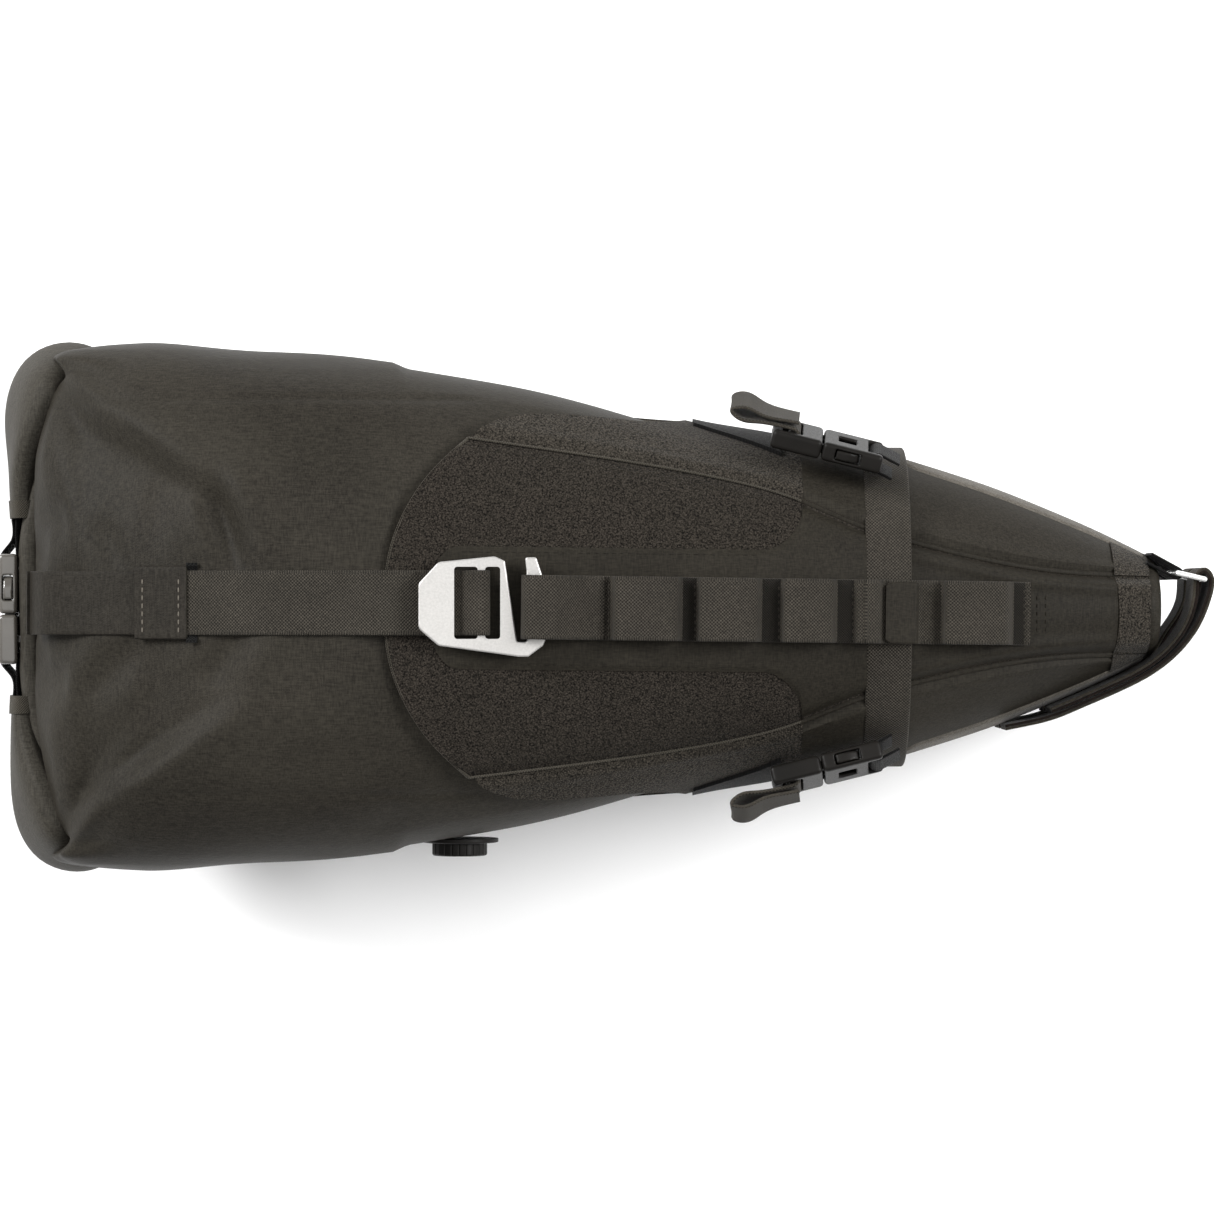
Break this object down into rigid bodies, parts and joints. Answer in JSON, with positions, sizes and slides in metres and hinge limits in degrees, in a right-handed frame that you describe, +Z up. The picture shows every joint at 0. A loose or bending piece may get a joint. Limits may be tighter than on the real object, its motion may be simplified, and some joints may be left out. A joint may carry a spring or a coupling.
{
  "type": "bicycle saddle bag",
  "caption": "Tapered bikepacking saddle bag: a roll-top dry bag in a holster with rail buckles, seatpost straps, a daisy chain and a hooked compression strap.",
  "frame": {"origin": "bottom centre of the pack's bounding box, on the surface it rests on", "axes": "+X towards the seatpost (front, narrow end), +Y to the rider's left, +Z up"},
  "size_m": [0.4829, 0.2152, 0.1652],
  "materials": {
    "coated_nylon": "matte coated",
    "coarse_fabric": "coarse matte weave",
    "smooth_overlay": "smooth satin coating",
    "binding_tape": "ribbed tape",
    "grey_webbing": "woven",
    "black_webbing": "woven",
    "felt_trim": "felted",
    "hook_and_loop": "brushed loop face",
    "foam": "closed-cell foam",
    "inner_plastic": "matte sheet",
    "buckle_plastic": "semi-gloss moulding",
    "valve_rubber": "matte",
    "hook_alloy": "brushed",
    "ring_steel": "polished wire"
  },
  "bodies": {
    "pack": {"dry_bag_body": "coated_nylon", "roll_top": "coated_nylon", "roll_strip": "inner_plastic", "holster_top_panel": "coarse_fabric", "holster_side_left": "coarse_fabric", "holster_side_right": "coarse_fabric", "holster_base_panel": "coarse_fabric", "base_stiffener": "inner_plastic", "nose_panel": "coarse_fabric", "nose_foam": "foam", "mouth_binding": "binding_tape", "top_overlay": "smooth_overlay", "cross_strap": "grey_webbing", "smooth_band": "smooth_overlay", "band_patch": "grey_webbing", "compression_strap": "grey_webbing", "strap_keeper": "black_webbing", "daisy_chain": "grey_webbing", "daisy_tab": "smooth_overlay", "rear_buckle_female": "buckle_plastic", "rear_buckle_male": "buckle_plastic", "roll_webbing_left": "black_webbing", "roll_webbing_right": "black_webbing", "rail_left_buckle_female": "buckle_plastic", "rail_left_buckle_male": "buckle_plastic", "rail_anchor_left": "black_webbing", "rail_tail_left": "grey_webbing", "rail_loop_left": "black_webbing", "edge_trim_left": "felt_trim", "rail_right_buckle_female": "buckle_plastic", "rail_right_buckle_male": "buckle_plastic", "rail_anchor_right": "black_webbing", "rail_tail_right": "grey_webbing", "rail_loop_right": "black_webbing", "edge_trim_right": "felt_trim", "post_strap_upper": "hook_and_loop", "ring_loop_upper": "black_webbing", "post_strap_lower": "hook_and_loop", "ring_loop_lower": "black_webbing", "valve_base": "buckle_plastic", "valve_membrane": "valve_rubber"},
    "rear_arm_a": {"rear_latch_arm_a": "buckle_plastic"},
    "rear_arm_b": {"rear_latch_arm_b": "buckle_plastic"},
    "rail_left_arm_a": {"rail_left_latch_arm_a": "buckle_plastic"},
    "rail_left_arm_b": {"rail_left_latch_arm_b": "buckle_plastic"},
    "rail_right_arm_a": {"rail_right_latch_arm_a": "buckle_plastic"},
    "rail_right_arm_b": {"rail_right_latch_arm_b": "buckle_plastic"},
    "hook": {"g_hook": "hook_alloy"},
    "valve_cap": {"valve_cap": "buckle_plastic"},
    "ring_upper": {"post_ring_upper": "ring_steel"},
    "ring_lower": {"post_ring_lower": "ring_steel"}
  },
  "joints": [
    {"name": "rear_squeeze_a", "type": "hinge", "parent": "pack", "child": "rear_arm_a", "pos_m": [-0.2382, -0.0044, 0.0658], "axis": [-1, 0, 0], "range_deg": [-12, 0], "stiffness_Nm_per_rad": 0.05},
    {"name": "rear_squeeze_b", "type": "hinge", "parent": "pack", "child": "rear_arm_b", "pos_m": [-0.2382, -0.0044, 0.0822], "axis": [-1, 0, 0], "range_deg": [0, 12], "stiffness_Nm_per_rad": 0.05},
    {"name": "rail_left_squeeze_a", "type": "hinge", "parent": "pack", "child": "rail_left_arm_a", "pos_m": [0.08273, 0.06591, 0.11654], "axis": [0.2347, 0.9415, 0.2419], "range_deg": [-12, 0], "stiffness_Nm_per_rad": 0.05},
    {"name": "rail_left_squeeze_b", "type": "hinge", "parent": "pack", "child": "rail_left_arm_b", "pos_m": [0.08177, 0.06206, 0.13246], "axis": [0.2347, 0.9415, 0.2419], "range_deg": [0, 12], "stiffness_Nm_per_rad": 0.05},
    {"name": "rail_right_squeeze_a", "type": "hinge", "parent": "pack", "child": "rail_right_arm_a", "pos_m": [0.08177, -0.06206, 0.13246], "axis": [0.2347, -0.9415, 0.2419], "range_deg": [-12, 0], "stiffness_Nm_per_rad": 0.05},
    {"name": "rail_right_squeeze_b", "type": "hinge", "parent": "pack", "child": "rail_right_arm_b", "pos_m": [0.08273, -0.06591, 0.11654], "axis": [0.2347, -0.9415, 0.2419], "range_deg": [0, 12], "stiffness_Nm_per_rad": 0.05},
    {"name": "hook_rock", "type": "hinge", "parent": "pack", "child": "hook", "pos_m": [-0.048, 0, 0.16026], "axis": [0, -1, 0], "range_deg": [0, 2.5]},
    {"name": "valve_turn", "type": "hinge", "parent": "pack", "child": "valve_cap", "pos_m": [-0.059, -0.0955, 0.072], "axis": [0, -1, 0], "range_deg": [0, 90]},
    {"name": "ring_swing_upper", "type": "hinge", "parent": "pack", "child": "ring_upper", "pos_m": [0.226, 0.0134, 0.0805], "axis": [0, 0, 1], "range_deg": [-3, 3]},
    {"name": "ring_swing_lower", "type": "hinge", "parent": "pack", "child": "ring_lower", "pos_m": [0.226, 0.0134, 0.0485], "axis": [0, 0, 1], "range_deg": [-3, 3]}
  ],
  "couplings": [
    {"joint": "rear_squeeze_b", "follows": "rear_squeeze_a", "ratio": -1},
    {"joint": "rail_left_squeeze_b", "follows": "rail_left_squeeze_a", "ratio": -1},
    {"joint": "rail_right_squeeze_b", "follows": "rail_right_squeeze_a", "ratio": -1}
  ]
}
